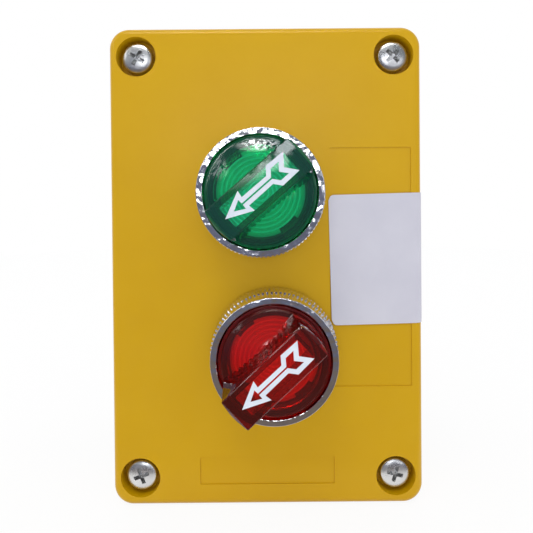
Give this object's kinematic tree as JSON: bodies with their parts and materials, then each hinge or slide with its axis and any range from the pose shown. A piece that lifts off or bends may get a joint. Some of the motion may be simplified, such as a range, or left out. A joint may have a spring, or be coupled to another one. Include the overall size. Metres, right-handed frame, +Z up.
{
  "type": "selector switch box",
  "caption": "Wall-mounted control box with a yellow cover and lit rotary selector switches in chrome bezels, green above red.",
  "frame": {"origin": "centre of the flat back face that lies against the wall", "axes": "+X to the right seen from the front, +Y into the wall (the back face's normal), +Z up; the front faces -Y"},
  "size_m": [0.0792, 0.0875, 0.1214],
  "materials": {
    "yellow_plastic": "satin moulded",
    "black_plastic": "fine satin",
    "grey_plastic": "fine satin",
    "rubber": "matt",
    "zinc_steel": "bright zinc",
    "chrome": "polished",
    "white_film": "satin film",
    "milky_plastic": "translucent",
    "lamp_plastic": "clear",
    "white_plastic": "satin",
    "contact_alloy": "bright",
    "green_lens": "polished translucent",
    "red_lens": "polished translucent"
  },
  "bodies": {
    "box": {"base": "black_plastic", "cover": "yellow_plastic", "cover_gasket": "rubber", "cover_screw_top_left": "zinc_steel", "cover_screw_top_right": "zinc_steel", "cover_screw_bottom_left": "zinc_steel", "cover_screw_bottom_right": "zinc_steel", "label_sticker": "white_film", "green_bezel_ring": "chrome", "green_panel_gasket": "rubber", "green_barrel": "grey_plastic", "green_locknut": "zinc_steel", "green_block_carrier": "black_plastic", "green_lamp": "lamp_plastic", "green_lamp_holder": "grey_plastic", "green_no_contact_block": "grey_plastic", "green_nc_contact_block": "grey_plastic", "green_no_terminal_upper": "contact_alloy", "green_no_terminal_lower": "contact_alloy", "green_nc_terminal_upper": "contact_alloy", "green_nc_terminal_lower": "contact_alloy", "green_no_return_spring": "zinc_steel", "green_nc_return_spring": "zinc_steel", "red_bezel_ring": "chrome", "red_panel_gasket": "rubber", "red_barrel": "grey_plastic", "red_locknut": "zinc_steel", "red_block_carrier": "black_plastic", "red_lamp": "lamp_plastic", "red_lamp_holder": "grey_plastic", "red_no_contact_block": "grey_plastic", "red_nc_contact_block": "grey_plastic", "red_no_terminal_upper": "contact_alloy", "red_no_terminal_lower": "contact_alloy", "red_nc_terminal_upper": "contact_alloy", "red_nc_terminal_lower": "contact_alloy", "red_no_return_spring": "zinc_steel", "red_nc_return_spring": "zinc_steel"},
    "green_knob": {"green_knob": "green_lens", "green_diffuser": "milky_plastic", "green_rotor": "grey_plastic", "green_retaining_clip": "zinc_steel"},
    "green_no_plunger": {"green_no_plunger": "white_plastic", "green_no_contact_bridge": "contact_alloy"},
    "green_nc_plunger": {"green_nc_plunger": "white_plastic", "green_nc_contact_bridge": "contact_alloy"},
    "red_knob": {"red_knob": "red_lens", "red_diffuser": "milky_plastic", "red_rotor": "grey_plastic", "red_retaining_clip": "zinc_steel"},
    "red_no_plunger": {"red_no_plunger": "white_plastic", "red_no_contact_bridge": "contact_alloy"},
    "red_nc_plunger": {"red_nc_plunger": "white_plastic", "red_nc_contact_bridge": "contact_alloy"}
  },
  "joints": [
    {"name": "green_knob_turn", "type": "hinge", "parent": "box", "child": "green_knob", "pos_m": [-0.0011, -0.064, 0.0184], "axis": [0, -1, 0], "range_deg": [0, 90]},
    {"name": "green_no_plunger_slide", "type": "slide", "parent": "box", "child": "green_no_plunger", "axis": [0, 1, 0], "range_m": [0, 0.0025], "deforming": ["green_no_return_spring"]},
    {"name": "green_nc_plunger_slide", "type": "slide", "parent": "box", "child": "green_nc_plunger", "axis": [0, 1, 0], "range_m": [0, 0.0025], "deforming": ["green_nc_return_spring"]},
    {"name": "red_knob_turn", "type": "hinge", "parent": "box", "child": "red_knob", "pos_m": [0.0018, -0.064, -0.0207], "axis": [0, -1, 0], "range_deg": [0, 90]},
    {"name": "red_no_plunger_slide", "type": "slide", "parent": "box", "child": "red_no_plunger", "axis": [0, 1, 0], "range_m": [0, 0.0025], "deforming": ["red_no_return_spring"]},
    {"name": "red_nc_plunger_slide", "type": "slide", "parent": "box", "child": "red_nc_plunger", "axis": [0, 1, 0], "range_m": [0, 0.0025], "deforming": ["red_nc_return_spring"]}
  ],
  "couplings": [
    {"joint": "green_no_plunger_slide", "follows": "green_knob_turn", "m_per_rad": 0.0015914},
    {"joint": "green_nc_plunger_slide", "follows": "green_knob_turn", "m_per_rad": 0.0015914},
    {"joint": "red_no_plunger_slide", "follows": "red_knob_turn", "m_per_rad": 0.0015914},
    {"joint": "red_nc_plunger_slide", "follows": "red_knob_turn", "m_per_rad": 0.0015914}
  ]
}
